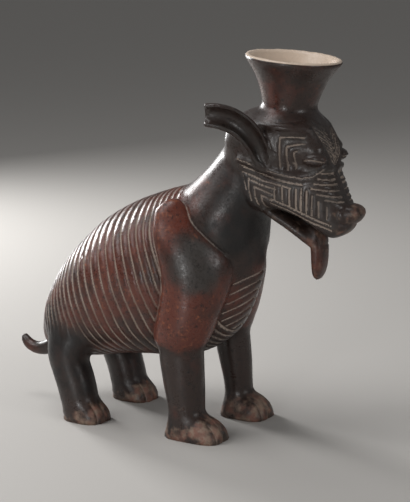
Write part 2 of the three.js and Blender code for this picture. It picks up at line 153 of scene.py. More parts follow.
BACK_LINE = [
    (-142, 66), (-141, 82), (-137, 100), (-129, 119), (-117, 139), (-103, 157), (-87, 173),
    (-68, 188), (-47, 200), (-26, 209), (-6, 216), (14, 221), (32, 221), (50, 213), (66, 198),
    (78, 178), (82, 160)]
BELLY_LINE = [
    (-142, 66), (-139, 57), (-129, 51), (-110, 49), (-85, 52), (-55, 58), (-25, 61), (5, 64),
    (26, 70), (43, 80), (54, 90), (69, 115), (75, 130), (79, 142), (81.5, 152), (82, 160)]
TRUNK_WIDTH = [
    (-142, 0), (-139, 18), (-132, 32), (-120, 45), (-102, 56), (-80, 62.5), (-55, 66), (-30, 67),
    (-5, 65), (20, 58), (40, 48), (52, 39), (62, 29), (70, 20), (76, 13), (80, 7), (82, 0)]
stations = -30 - 112 * np.cos(np.linspace(0, np.pi, 90))
back, belly = drawn_line(BACK_LINE, 0.8)(stations), drawn_line(BELLY_LINE, 0.8)(stations)
half_width = np.maximum(drawn_line(TRUNK_WIDTH, 0.8)(stations), 0.3)
across, up = oval(96, 2)
trunk_area, trunk_depth = depth_of(np.stack(np.broadcast_arrays(
    stations[:, None], half_width[:, None] * across,
    (back + belly)[:, None] / 2 + (back - belly)[:, None] / 2 * up), axis=-1))
dig(trunk_area, trunk_depth + WALL, 0.5)

# Lines round the body, incised in the leather-hard clay with a blunt point from one shoulder over
# the back to the other. They lean back as they rise, and pale earth is left in them.
LEAN, LEAN_AT_TOP, LEAN_LEVEL = 0.303, 0.00124, 125.0
LINE_MIDDLE, LINE_PITCH, LINE_CLOSING = -32.7, 9.8, 3.6
LINES_BEHIND, SPAN_BEHIND = 13, 7
LINES_AHEAD, SPAN_AHEAD = 10, 6
LINE_DEPTH, LINE_HALF_WIDTH = 1.2, 1.25


def line_places(way, count, span):
    steps = [LINE_PITCH - LINE_CLOSING * min(1, ((k + 0.5) / span) ** 2) for k in range(count)]
    return LINE_MIDDLE + way * np.cumsum(steps)


places = np.sort(np.concatenate([
    [LINE_MIDDLE], line_places(-1, LINES_BEHIND, SPAN_BEHIND), line_places(1, LINES_AHEAD, SPAN_AHEAD)]))
x, y, z = places_in(trunk_area)
rise = z - LEAN_LEVEL
sway = 0.5 * np.sin(z / 17.0 + y / 23.0) + 0.35 * np.sin(z / 7.3 - y / 31.0)
sheet = x + LEAN * rise + LEAN_AT_TOP * np.maximum(rise, 0) ** 2 + sway
nearest = np.clip(np.searchsorted(places, sheet), 1, len(places) - 1)
off_line = np.minimum(np.abs(sheet - places[nearest - 1]), np.abs(sheet - places[nearest]))
off_line /= np.sqrt(1 + (LEAN + 2 * LEAN_AT_TOP * np.maximum(rise, 0)) ** 2)
line_cut = np.clip(1 - (off_line / LINE_HALF_WIDTH) ** 2, 0, 1)
line_cut = (line_cut * np.clip((z - 54) / 6, 0, 1)).astype(np.float32)

# Chest strokes: short lines that fall from the keel of the chest to both sides.
CHEST_TOP, CHEST_PITCH, CHEST_STROKES, CHEST_FALL = 149.0, 8.5, 8, 0.34
CHEST_START = 40.0
STROKE_DEPTH, STROKE_HALF_WIDTH = 1.0, 0.95
hatch = z - CHEST_TOP + CHEST_FALL * np.abs(y) + 0.004 * y ** 2
steps_down = np.clip(np.round(-hatch / CHEST_PITCH), 0, CHEST_STROKES - 1)
off_stroke = np.abs(hatch + steps_down * CHEST_PITCH)
chest_cut = np.clip(1 - (off_stroke / STROKE_HALF_WIDTH) ** 2, 0, 1) * np.clip((x - CHEST_START) / 4, 0, 1)
front_sheet = np.clip((sheet - 44) / 3, 0, 1)
trunk_cut = np.maximum(line_cut * (1 - front_sheet), chest_cut * front_sheet).astype(np.float32)
join(trunk_area, trunk_depth + LINE_DEPTH * trunk_cut, 0.5, "trunk", trunk_cut)

# Neck: a tube of clay drawn up from the shoulders. Each section runs from the nape to the throat.
NECK = [
    ((-2, 205), (70, 152), 40), ((10, 220), (79, 164), 43), ((25, 233), (81, 180), 39),
    ((39, 248), (83, 194), 35), ((51, 264), (88, 205), 33), ((60, 274), (100, 211), 29)]


def between_points(sections, squareness):
    """Rings of a form whose sections each run between two points of the side view."""
    steps = np.linspace(0, len(sections) - 1, 12 * len(sections))
    columns = zip(*[(*upper, *lower, half) for upper, lower, half in sections])
    top_x, top_z, low_x, low_z, half = [drawn_line(list(enumerate(c)), 0.3)(steps)[:, None] for c in columns]
    across, up = oval(64, squareness)
    return np.stack(np.broadcast_arrays(
        (top_x + low_x) / 2 + (top_x - low_x) / 2 * up, half * across,
        (top_z + low_z) / 2 + (top_z - low_z) / 2 * up), axis=-1)


area, depth = depth_of(between_points(NECK, 2.1))
join(area, depth, 5, "neck")
dig(area, depth + WALL, 6)

# Shoulders and forelegs: flat slabs of clay laid on the trunk, that run down into rolled legs. The
# seam round each slab is left open as a line. Sections are z, x, y, half length, half width, slant.
FRONT_LEG = [
    (7, 29, 42, 16.5, 16.5, 0), (33, 27, 42, 16.8, 17, 0), (50, 24.7, 42, 18.6, 18.2, 0),
    (68, 22.3, 41, 20, 19.4, 0), (80, 21.4, 40.6, 20.8, 20.4, 2), (88, 21.4, 40.2, 24.6, 24.4, 8),
    (97, 23.2, 39, 26.9, 27, 16),
    (112, 26.7, 36.5, 29.2, 28.5, 26), (128, 30.8, 35.5, 31.5, 27.5, 33), (145, 34.3, 35, 34, 26, 38),
    (163, 33.6, 35, 35.4, 23.5, 39), (180, 26, 36, 31, 20.5, 39), (196, 15.3, 38, 20, 15, 39),
    (206, 12.5, 40, 13, 10, 39), (212, 13.5, 40, 5, 4, 39)]
LEFT_LEG_TOP, LEFT_LEG_CHANGE, LEFT_LEG_FORWARD, LEFT_LEG_SLIMMER = 95, 20, 6, 3.5


def limb(sections, side, is_left_fore):
    levels, *columns = (np.array(column, dtype=float) for column in zip(*sections))
    z = np.linspace(levels[0], levels[-1], 80)[:, None]
    x, y, length, width, slant = [drawn_line(list(zip(levels, column)), 1.5)(z) for column in columns]
    change = np.clip((LEFT_LEG_TOP - z) / LEFT_LEG_CHANGE, 0, 1) * is_left_fore
    turn = np.radians(slant)
    lengthways, crossways = oval(64, 2)
    along = lengthways * (length - change * LEFT_LEG_SLIMMER)
    beside = crossways * np.maximum(width - change * LEFT_LEG_SLIMMER, 1)
    return depth_of(np.stack(np.broadcast_arrays(
        x + change * LEFT_LEG_FORWARD + along * np.cos(turn) + beside * np.sin(turn),
        side * (y - along * np.sin(turn) + beside * np.cos(turn)), z), axis=-1))


for side in (-1, 1):
    area, depth = limb(FRONT_LEG, side, side > 0)
    x, y, z = places_in(area)
    # Along the top and back of each seam the pale line is a painted edge highlight as well as pale earth; the front
    # edge and the lower seam get none.
    lit_top_and_back = np.clip((z - 96 - 0.35 * (x - 20)) / 20, 0, 1) * np.clip((62 - x) / 8, 0, 1)
    join(area, depth, 0.8, "shoulder", seam=0.8, seam_highlight=0.75 * lit_top_and_back)

# Haunches and hind legs: rolls of clay smoothed into the flank without a seam.
HIND_LEG = [
    (7, -84, 42, 17, 17, 0), (17, -86, 42, 17.5, 17.5, 0), (30, -89, 42, 18.2, 18, 0),
    (42, -93, 42, 18.7, 18.5, 0), (56, -97.5, 42, 18.8, 19, 0), (72, -96.5, 38, 22, 21, 0),
    (88, -93, 34, 23, 20, 0), (102, -88, 27, 15, 14, 0)]
for side in (-1, 1):
    area, depth = limb(HIND_LEG, side, False)
    join(area, depth, 8, "haunch")

# Paws: flat-soled pads pinched out at the foot of each leg, with toes drawn on by short strokes.
# Sections are x, height and half width.
FRONT_PAW = [(10, 8, 10), (15, 18, 15), (26, 23, 17.5), (40, 23, 18.5), (52, 19, 18.5), (60, 14, 16), (65, 8, 11.5)]
HIND_PAW = [(-99, 7, 9), (-94, 15, 14), (-85, 21, 17), (-74, 21, 18), (-66, 16, 17), (-61, 11, 13.5), (-58, 5, 8)]
PAW_CENTRE, LEFT_PAW_SHORTER = 42, 0.82
TOE_LINES = (-8.5, 0, 8.5)
TOE_LENGTH, TOE_DEPTH, TOE_HALF_WIDTH = 15.0, 1.4, 1.1


def paw(sections, side, stretch):
    xs, heights, halves = (np.array(column, dtype=float) for column in zip(*sections))
    tip = xs[-1]
    xs = tip + (xs - tip) * stretch
    stations = np.linspace(xs[0], tip, 40)[:, None]
    angle = np.linspace(0, np.pi, 40)
    height, half = (drawn_line(list(zip(xs, column)), 1.5)(stations) for column in (heights, halves))
    spread = np.sign(np.cos(angle)) * np.abs(np.cos(angle)) ** 0.75 * half
    climb = np.maximum(np.sin(angle), 0) ** 0.8 * (height + 3) - 3
    area, depth = depth_of(np.stack(np.broadcast_arrays(stations, side * (PAW_CENTRE + spread), climb), axis=-1))
    x, y, z = places_in(area)
    near_tip = np.clip((x - tip + TOE_LENGTH) / 5, 0, 1)
    fan = (side * y - PAW_CENTRE) * (1 - 0.012 * (x - tip + TOE_LENGTH))
    cut = np.max([np.clip(1 - ((fan - place) / TOE_HALF_WIDTH) ** 2, 0, 1) for place in TOE_LINES], axis=0)
    cut = np.broadcast_to(cut * near_tip, depth.shape).astype(np.float32)
    return area, depth + TOE_DEPTH * cut, cut


for side in (-1, 1):
    area, depth, cut = paw(FRONT_PAW, side, LEFT_PAW_SHORTER if side > 0 else 1)
    join(area, depth, 5, "paw", cut * 0.6)
    area, depth, cut = paw(HIND_PAW, side, 1)
    join(area, depth, 5, "paw", cut * 0.6)

# Tail: a short roll of clay, luted to the rump, that turns up at its tip. Points are x, z, radius.
TAIL = [(-130, 60, 10), (-145, 52, 7.5), (-156, 48, 6), (-165, 48, 5.4), (-172, 51, 5), (-176, 56, 3.8), (-177, 59, 2.4)]
steps = np.linspace(0, len(TAIL) - 1, 60)
along, rise, radius = [drawn_line(list(enumerate(column)), 0.3)(steps)[:, None] for column in zip(*TAIL)]
lean = np.arctan2(np.gradient(rise, axis=0), np.gradient(-along, axis=0))
across, up = oval(32, 2)
area, depth = depth_of(np.stack(np.broadcast_arrays(
    along + radius * up * np.sin(lean), radius * across, rise + radius * up * np.cos(lean)), axis=-1))
join(area, depth, 6, "tail")

# Head: a closed box of clay, in one with a long muzzle. Sections are x, bottom, top and half width.
SKULL = [
    (52, 257, 271, 14), (56, 241, 281, 25), (64, 231, 288, 32), (76, 227, 293, 35), (92, 227, 295, 35.5),
    (108, 227, 295, 33.5), (122, 227, 293, 30), (133, 229, 287, 26), (141, 233, 279, 23),
    (147, 239, 268, 19), (150, 245, 259, 12)]
MUZZLE = [
    (72, 227, 247, 20), (78, 213, 251, 31), (88, 204, 249, 34), (100, 208, 246, 34.5),
    (115, 205, 244, 32.5), (128, 200, 244, 30), (138, 193, 246, 27), (146, 187, 249, 23.5),
    (152, 185, 240, 20), (158, 187, 226, 17), (164, 190.5, 215, 13.5), (168, 195, 209, 8)]
HEAD_LOW, HEAD_HIGH = (44, -44, 178), (178, 44, 304)


def upright(sections, squareness):
    """A form with upright sections along the head, as depths over the head's whole area."""
    xs, bottoms, tops, halves = (np.array(column, dtype=float) for column in zip(*sections))
    stations = np.linspace(xs[0], xs[-1], 70)[:, None]
    bottom, top, half = [drawn_line(list(zip(xs, column)), 1.5)(stations) for column in (bottoms, tops, halves)]
    across, up = oval(80, squareness)
    area, depth = depth_of(np.stack(np.broadcast_arrays(
        stations, half * across, (top + bottom) / 2 + (top - bottom) / 2 * up), axis=-1))
    whole = np.full([part.stop - part.start for part in head_area], DEEPEST, dtype=np.float32)
    inner = tuple(slice(max(p.start, h.start) - h.start, min(p.stop, h.stop) - h.start) for p, h in zip(area, head_area))
    outer = tuple(slice(max(p.start, h.start) - p.start, min(p.stop, h.stop) - p.start) for p, h in zip(area, head_area))
    whole[inner] = depth[outer]
    return whole


head_area, x, y, z = work_area(HEAD_LOW, HEAD_HIGH)
skull = upright(SKULL, 2.6)
muzzle = upright(MUZZLE, 3)
share = share_of(skull, muzzle, 4)
head = muzzle + (skull - muzzle) * share - 4 * share * (1 - share)
dig(head_area, np.maximum(skull + WALL, 66 - x), 3)

# Face: a cord runs from the ear to the eye, with a hollow over it. Every stroke is a line through
# points of the side view, alike on both sides, and they make nested corners, fans and bands.
CHEEK_CORD = [(75, 252), (86, 249), (98, 245), (110, 241.5), (121, 239.5), (132, 238.5), (141, 240), (149, 246)]
STROKES = [
    [(76, 246.5), (98, 239.5), (110, 236), (121, 234), (132, 233)],
    [(77, 241), (97, 235), (123, 229.5)], [(77, 241), (79, 234), (82, 226)],
    [(84, 235), (97, 231), (110, 228)], [(84, 235), (84.5, 226), (87, 217)],
    [(90, 229), (98, 226.5), (107, 223.5)], [(90, 229), (91, 221), (93.5, 213)],
    [(97, 222), (102, 220.5), (106, 218)], [(97, 222), (97.5, 216), (99, 209)],
    [(109, 230), (109, 219)], [(115.5, 229.5), (116, 217)], [(122, 229), (122, 214)],
    [(127.5, 229), (127.5, 212)], [(132, 229), (131.5, 210.5)], [(136.5, 228), (136, 208.5)],
    [(141, 224), (140.5, 207)], [(146, 219), (146, 206)], [(152, 214), (152, 204)],
    [(147, 243), (153, 240)], [(144.5, 238), (155, 236)], [(142, 234), (157, 232)],
    [(140, 230), (158, 227)], [(145, 225), (160, 222)], [(151, 220), (162, 217.5)],
    [(106, 219.5), (119, 214.5), (131, 209), (143, 203.5), (155, 198)],
    [(105, 215.5), (118, 210.5), (129, 205), (142, 199.5), (155, 194)],
    [(133, 272.5), (123, 273), (113, 272.5), (113, 247)],
    [(134, 267.5), (126, 266.5), (119, 265), (119, 245)],
    [(130, 262.5), (125, 260), (125, 246)],
    [(110, 278), (120, 278), (130, 278.5)], [(104, 284), (115, 285), (126, 286)]]
BAND_EDGES = [
    [(17.5, 284), (16, 276), (14, 267), (10, 258), (5, 251)],
    [(11, 286), (9, 276), (7, 267), (4.5, 259), (1, 252)]]
BAND_TEETH = 8
NOSTRIL = [(161, 212.5), (159, 207), (161, 201.5), (166, 199), (171, 200.5)]


def off_line_of(points, x, z):
    """How far each place of a side view is from a line, in millimetres."""
    best = np.full(np.broadcast(x, z).shape, 1e3)
    for (ax, az), (bx, bz) in zip(points[:-1], points[1:]):
        t = np.clip(((x - ax) * (bx - ax) + (z - az) * (bz - az)) / ((bx - ax) ** 2 + (bz - az) ** 2), 0, 1)
        best = np.minimum(best, np.hypot(x - ax - t * (bx - ax), z - az - t * (bz - az)))
    return best


def groove(points, half_width, x, z):
    return np.clip(1 - (off_line_of(points, x, z) / half_width) ** 2, 0, 1)


side_x, side_z = x[:, 0], z[0]
face_cut = np.max([groove(points, STROKE_HALF_WIDTH, side_x, side_z) for points in STROKES], axis=0)
cord = np.clip(1 - (off_line_of(CHEEK_CORD, side_x, side_z) / 3.0) ** 2, 0, 1)
cord_line = groove(CHEEK_CORD, 0.8, side_x, side_z)
socket = np.exp(-((side_x - 128) / 13) ** 2 - ((side_z - 249) / 6.5) ** 2)
nostril = groove(NOSTRIL, 1.5, side_x, side_z)
off_middle = np.clip((np.abs(y) - 3) / 2, 0, 1)
side_map = STROKE_DEPTH * face_cut - 2.8 * cord + 1.0 * cord_line + 4.0 * socket + 1.8 * nostril
outer_edge, inner_edge = (drawn_line([(z, y) for y, z in reversed(edge)], 1.0) for edge in BAND_EDGES)
teeth = []
for start in np.linspace(281, 254, BAND_TEETH):
    teeth.append([(outer_edge(start), start), (inner_edge(start - 6), start - 6)])
    teeth.append([(inner_edge(start + 2), start + 2), (max(inner_edge(start - 4) - 5, 0), start - 4)])
front_y, front_z = np.abs(y)[0], z[0]
band_cut = np.max([groove(points, STROKE_HALF_WIDTH, front_y, front_z) for points in BAND_EDGES + teeth], axis=0)
on_front = np.clip((x - 118) / 4, 0, 1)
head = head + side_map[:, None, :] * off_middle + STROKE_DEPTH * band_cut[None] * on_front
face_chalk = np.maximum(np.maximum(face_cut, cord_line * 0.8)[:, None, :] * off_middle, band_cut[None] * on_front * 0.8)
face_chalk = face_chalk.astype(np.float32)
join(head_area, head, 4, "head", face_chalk)


# Eyes, brows and nose: pellets of clay pressed on and smoothed. The eyes are slit like coffee beans.
def bulb(centre, radii, reach, form, slit=0.0):
    low = [c - r - 6 for c, r in zip(centre, radii)]
    high = [c + r + 6 for c, r in zip(centre, radii)]
    area, x, y, z = work_area(low, high)
    away = [(place - c) / r for place, c, r in zip((x, y, z), centre, radii)]
    near = np.sqrt(sum(a ** 2 for a in away))
    steep = np.sqrt(sum((a / r) ** 2 for a, r in zip(away, radii)))
    depth = (near * (near - 1) / np.maximum(steep, 1e-3)).astype(np.float32)
    cut = np.clip(1 - ((z - centre[2] + 0.02 * (x - centre[0]) ** 2) / 1.0) ** 2, 0, 1) * (slit > 0)
    cut = np.broadcast_to(cut, depth.shape).astype(np.float32)
    join(area, depth + slit * cut, reach, form, cut * 0.8)


for side in (-1, 1):
    bulb((135, side * 18.5, 262.5), (12, 7.5, 4.5), 4, "head")
    bulb((140.5, side * 20.5, 254.5), (11.2, 8, 5.8), 0.8, "eye", slit=1.3)
bulb((166.5, 0, 207.5), (10.4, 12, 9), 3, "nose")
bulb((170.5, -6, 208.5), (5.5, 5, 5), 3, "nose")
bulb((170.5, 6, 208.5), (5.5, 5, 5), 3, "nose")

# Lower jaw and tongue: a thin bar of clay hangs open under the muzzle, notched for its teeth, and a
# tongue lolls over its end.
JAW = [
    ((90, 214), (85, 204), 20), ((104, 207), (98, 196.5), 20), ((116, 200), (110, 189.5), 18.5),
    ((127, 193), (121, 181.5), 16), ((135, 187), (130, 175), 13), ((138, 183), (136, 175), 8)]
TONGUE = [
    ((126, 195), (121, 188), 8), ((136, 194.5), (128, 185), 9.8), ((141.5, 186), (129, 180), 11),
    ((142.5, 173), (130, 172.5), 11), ((142, 161), (130.5, 161), 10.8), ((140, 152), (131.5, 152), 9.5),
    ((137.5, 147), (133.5, 147), 5)]
JAW_NOTCHES = 11
area, depth = depth_of(between_points(JAW, 2.4))
x, y, z = places_in(area)
down_jaw = (0.86 * (x - 85) - 0.51 * (z - 205)) / 60
notch = np.clip(np.cos(2 * np.pi * JAW_NOTCHES * down_jaw) * 1.6 - 0.6, 0, 1)
notch = (notch * np.clip((203 - 0.6 * (x - 85) - z) / 2.5, 0, 1) * (np.abs(y) > 8)).astype(np.float32)
join(area, depth + 1.1 * notch, 2, "jaw", notch * 0.5)
area, depth = depth_of(between_points(TONGUE, 2.4))
x, y, z = places_in(area)
crease = np.clip(1 - ((z - 180 + 0.35 * (x - 134)) / 1.3) ** 2, 0, 1)
join(area, (depth + 1.0 * crease).astype(np.float32), 2, "tongue")

# Ears: each is a leaf of clay curled into a trough that opens forward and out. Points are the middle
# line of the trough with its radius.
EAR_LINE = [
    (97, 28, 245), (97, 37, 260), (93, 49, 276.5), (84, 59, 287.5), (73, 66, 292), (62, 70, 292.5)]
EAR_RADII = [8, 9.5, 10.5, 11, 10.8, 10]
EAR_FLATNESS, EAR_WALL, EAR_FLOOR = 0.8, 3.2, 5.6
EAR_FACES = np.array([0.65, 0.76, 0.06])
steps = np.linspace(0, 5, 61)
middle = np.stack([drawn_line(list(enumerate(c)), 0.3)(steps) for c in zip(*EAR_LINE)], axis=1)
radius = drawn_line(list(enumerate(EAR_RADII)), 0.3)(steps)[:, None, None]
along = np.gradient(middle, axis=0)
along /= np.linalg.norm(along, axis=1)[:, None]
out = EAR_FACES - (along @ EAR_FACES)[:, None] * along
out /= np.linalg.norm(out, axis=1)[:, None]
over = np.cross(along, out)
across, up = (part[None, :, None] for part in oval(64, 2))
leaf = middle[:, None] + radius * (across * over[:, None] + EAR_FLATNESS * up * out[:, None])
room = np.clip(steps / 0.8, 0.15, 1)[:, None, None] * (radius - EAR_WALL)
trough = middle[:, None] + EAR_FLOOR * out[:, None] + room * across * over[:, None] \
    + radius * EAR_FLATNESS * up * out[:, None]
trough[-1] += 6 * along[-1]
for side in (-1, 1):
    area, depth = depth_of(leaf * (1, side, 1))
    trough_area, trough_depth = depth_of(trough * (1, side, 1))
    room_area = np.full(block_size, DEEPEST, dtype=np.float32)
    room_area[trough_area] = trough_depth
    join(area, np.maximum(depth, -room_area[area]), 3, "ear")

# Spout: a flared collar of clay on the crown, leaning a little forward, with a round lip and a bore
# that opens into the head. The profile is radius and height under the rim.
SPOUT_PROFILE = [
    (35, -57), (29, -53), (25.2, -48.5), (23.7, -43), (25, -35), (28.6, -24), (33, -15),
    (38.6, -7), (41.4, -3.2), (42.5, -0.5)]
SPOUT_RIM, SPOUT_LEAN = (109.5, 338.5), math.radians(5)
SPOUT_WALL, BORE_RADIUS, BORE_END = 4.6, 19.0, -78.0
area, x, y, z = work_area((56, -56, 246), (164, 56, 346))
up = (z - SPOUT_RIM[1]) * math.cos(SPOUT_LEAN) + (x - SPOUT_RIM[0]) * math.sin(SPOUT_LEAN)
ahead = (x - SPOUT_RIM[0]) * math.cos(SPOUT_LEAN) - (z - SPOUT_RIM[1]) * math.sin(SPOUT_LEAN)
radius = np.hypot(ahead, y)
up = np.broadcast_to(up, radius.shape)
outline = drawn_line([(height, r) for r, height in SPOUT_PROFILE], 0.8)
levels = np.linspace(-57, -SPOUT_WALL / 2 - 0.2, 40)
spine = np.stack([outline(levels) - SPOUT_WALL / 2, levels], axis=1)
wall = np.full(radius.shape, 1e3)
for (ar, ah), (br, bh) in zip(spine[:-1], spine[1:]):
    t = np.clip(((radius - ar) * (br - ar) + (up - ah) * (bh - ah)) / ((br - ar) ** 2 + (bh - ah) ** 2), 0, 1)
    wall = np.minimum(wall, np.hypot(radius - ar - t * (br - ar), up - ah - t * (bh - ah)))
wall -= SPOUT_WALL / 2
root = np.maximum(radius - outline(np.clip(up, -57, -44)), up + 43)
root = np.maximum(root, -57 - up)
spout = np.clip(np.minimum(wall, root), -DEEPEST, DEEPEST).astype(np.float32)
join(area, spout, 6, "spout")
bore = np.maximum(np.maximum(radius - BORE_RADIUS, BORE_END - up), up + 41)
dig(area, np.clip(bore, -DEEPEST, DEEPEST).astype(np.float32), 1)
del wall, root, up, radius

# The inside is left as a thin even wall. The soles are pressed flat, and the hand leaves the whole
# surface a little uneven.
_, x, y, z = work_area(BLOCK_LOW, BLOCK_HIGH)
maker[hollow < 3] = FORMS.index("inside")
clay = np.maximum(clay, -hollow)
clay += (0.22 * np.sin(x / 13 + 1.0) * np.cos(y / 11 + z / 17) + 0.16 * np.sin(z / 7.5 + x / 19) * np.cos(y / 9)).astype(np.float32)
clay = np.maximum(clay, -z)
SKIN_FACES = 186000
INSIDE = FORMS.index("inside")


def grain_at(grid, points):
    """What a grid holds at points in millimetres."""
    at = np.clip(np.round((points - BLOCK_LOW) / GRAIN).astype(int), 0, block_size - 1)
    return grid[at[:, 0], at[:, 1], at[:, 2]]


block = openvdb.FloatGrid(DEEPEST)
block.copyFromArray(clay)
points, _, quads = block.convertToPolygons(isovalue=0.0, adaptivity=0.0)
points = points * GRAIN + BLOCK_LOW
mesh = bpy.data.meshes.new("vessel_clay")
mesh.from_pydata((points / 1000).tolist(), [], quads.tolist())
vessel = bpy.data.objects.new("vessel_clay", mesh)
bpy.context.scene.collection.objects.link(vessel)
kept = vessel.vertex_groups.new(name="kept")
made_by = grain_at(maker, points)
cut_here = grain_at(chalk_and_highlight, points) > 0.1
kept.add(np.nonzero((made_by != INSIDE) & ~cut_here)[0].tolist(), 0.35, "REPLACE")
kept.add(np.nonzero((made_by != INSIDE) & cut_here)[0].tolist(), 1.0, "REPLACE")
thinner = vessel.modifiers.new("thinner", "DECIMATE")
thinner.ratio = SKIN_FACES / (2 * len(quads))
thinner.vertex_group = "kept"
thinner.invert_vertex_group = True
thinner.vertex_group_factor = 3.0
bpy.context.view_layer.update()
thinned = bpy.data.meshes.new_from_object(vessel.evaluated_get(bpy.context.evaluated_depsgraph_get()))
vessel.modifiers.clear()
vessel.vertex_groups.clear()
vessel.data = thinned
bpy.data.meshes.remove(mesh)
mesh = thinned
mesh.name = "vessel_clay"
mesh.shade_smooth()

# Colour: the clay fired dark brown, brick red where air reached it and black where smoke did. Feet,
# mouth and lip are worn to bare buff clay. Each zone is kept on the mesh as a share from 0 to 1.
ZONES = {  # form: iron, soot, buff, smoke
    "trunk": (0.46, 0.20, 0.0, 0.0), "neck": (0.32, 0.34, 0.0, 0.10), "head": (0.05, 0.20, 0.06, 0.45),
    "shoulder": (0.74, 0.0, 0.0, 0.0), "haunch": (0.22, 0.46, 0.0, 0.0), "paw": (0.22, 0.12, 0.46, 0.1),
    "spout": (0.34, 0.30, 0.0, 0.2), "ear": (0.12, 0.15, 0.10, 0.45), "jaw": (0.15, 0.0, 0.36, 0.4),
    "tongue": (0.48, 0.0, 0.42, 0.1), "eye": (0.15, 0.05, 0.26, 0.4), "nose": (0.30, 0.0, 0.52, 0.1),
    "tail": (0.20, 0.42, 0.12, 0.0), "inside": (0.30, 0.0, 0.60, 0.0)}
count = len(mesh.vertices)
points = np.empty(count * 3, dtype=np.float32)
mesh.vertices.foreach_get("co", points)
points = points.reshape(-1, 3) * 1000
px, py, pz = points.T
zones = np.array([ZONES[form] for form in FORMS])[grain_at(maker, points)]
marks = grain_at(chalk_and_highlight, points)
edges = np.empty(len(mesh.edges) * 2, dtype=np.int32)
mesh.edges.foreach_get("vertices", edges)
edges = edges.reshape(-1, 2)
ends = np.concatenate([edges[:, 0], edges[:, 1]])
others = np.concatenate([edges[:, 1], edges[:, 0]])
neighbours = np.maximum(np.bincount(ends, minlength=count), 1)


def evened(values, rounds):
    """Values blended with those of their neighbours on the skin."""
    for _ in range(rounds):
        values = 0.5 * values + 0.5 * np.bincount(ends, weights=values[others], minlength=count) / neighbours
    return values


def patch(centre, reach):
    """A soft round patch on the skin, 1 in its middle."""
    return np.exp(-sum(((p - c) / r) ** 2 for p, c, r in zip((px, py, pz), centre, reach)))


iron, soot, buff, smoke = (evened(column, 14) for column in zones.T)
iron += 0.30 * patch((20, -66, 118), (30, 40, 26)) - 0.55 * patch((44, -58, 160), (26, 40, 30))
iron += 0.25 * patch((-50, -60, 150), (50, 60, 40)) + 0.3 * patch((0, -50, 226), (40, 60, 20))
smoke += 0.85 * patch((42, -60, 166), (22, 40, 30)) + 0.35 * patch((60, -40, 140), (14, 30, 24))
soot += 0.55 * patch((74, 0, 200), (22, 70, 44)) + 0.40 * patch((-110, -30, 74), (50, 70, 30))
lower_leg = np.clip((88 - pz) / 8, 0, 1) * np.clip((px + 20) / 20, 0, 1)
iron -= 0.50 * lower_leg
soot += 0.34 * lower_leg
buff += 0.16 * np.clip((60 - pz) / 34, 0, 1)
buff += 0.45 * patch((158, 0, 196), (14, 30, 14))
rim_rise = (pz - SPOUT_RIM[1]) * math.cos(SPOUT_LEAN) + (px - SPOUT_RIM[0]) * math.sin(SPOUT_LEAN)
rim_ahead = (px - SPOUT_RIM[0]) * math.cos(SPOUT_LEAN) - (pz - SPOUT_RIM[1]) * math.sin(SPOUT_LEAN)
off_axis = np.hypot(rim_ahead, py)
in_spout = (rim_rise > -60) & (rim_rise < 5) & (off_axis < outline(np.clip(rim_rise, -57, -1)) - SPOUT_WALL / 2)
# The pale share stored here is pale earth in the lines and a painted edge highlight along the shoulder seams.
for name, values in {"iron": iron, "soot": soot, "buff": buff, "smoke": smoke, "chalk_and_highlight": marks,
                     "mouth": in_spout.astype(float)}.items():
    layer = mesh.attributes.new(name, "FLOAT", "POINT")
    layer.data.foreach_set("value", np.clip(values, 0, 1).astype(np.float32))

fired_clay = bpy.data.materials.new("fired_clay")
fired_clay.use_nodes = True
tree = fired_clay.node_tree
tree.nodes.clear()
where = tree.nodes.new("ShaderNodeTexCoord").outputs["Object"]


def set_input(node, name, value):
    if isinstance(value, bpy.types.NodeSocket):
        tree.links.new(value, node.inputs[name])
    else:
        node.inputs[name].default_value = value


def zone(name):
    node = tree.nodes.new("ShaderNodeAttribute")
    node.attribute_name = name
    return node.outputs["Fac"]


def mottle(size_mm, detail=3.0, roughness=0.55, stretch=(1, 1, 1)):
    """Clouds of about a size in the fired surface, from 0 to 1."""
    spread = tree.nodes.new("ShaderNodeMapping")
    set_input(spread, "Vector", where)
    spread.inputs["Scale"].default_value = stretch
    node = tree.nodes.new("ShaderNodeTexNoise")
    set_input(node, "Vector", spread.outputs[0])
    set_input(node, "Scale", 1000.0 / size_mm)
    set_input(node, "Detail", detail)
    set_input(node, "Roughness", roughness)
    return node.outputs["Fac"]


def reckon(operation, first, second=0.0, clamp=False):
    node = tree.nodes.new("ShaderNodeMath")
    node.operation = operation
    node.use_clamp = clamp
    set_input(node, 0, first)
    set_input(node, 1, second)
    return node.outputs[0]


def ramp(value, low, high, out_low=0.0, out_high=1.0):
    node = tree.nodes.new("ShaderNodeMapRange")
    node.interpolation_type = "SMOOTHSTEP"
    for name, given in zip(("Value", "From Min", "From Max", "To Min", "To Max"), (value, low, high, out_low, out_high)):
        set_input(node, name, given)
    return node.outputs[0]


def colour_mix(share, first, second):
    node = tree.nodes.new("ShaderNodeMix")
    node.data_type = "RGBA"
    set_input(node, 0, share)
    set_input(node, 6, first if isinstance(first, bpy.types.NodeSocket) else (*first, 1))
    set_input(node, 7, second if isinstance(second, bpy.types.NodeSocket) else (*second, 1))
    return node.outputs[2]


def clouded(name, size_mm, spread, low, high, stretch=(1, 1, 1)):
    """A zone with its edge broken up by clouds."""
    clouds = reckon("MULTIPLY", reckon("SUBTRACT", mottle(size_mm, stretch=stretch), 0.5), spread)
    return ramp(reckon("ADD", zone(name), clouds), low, high)


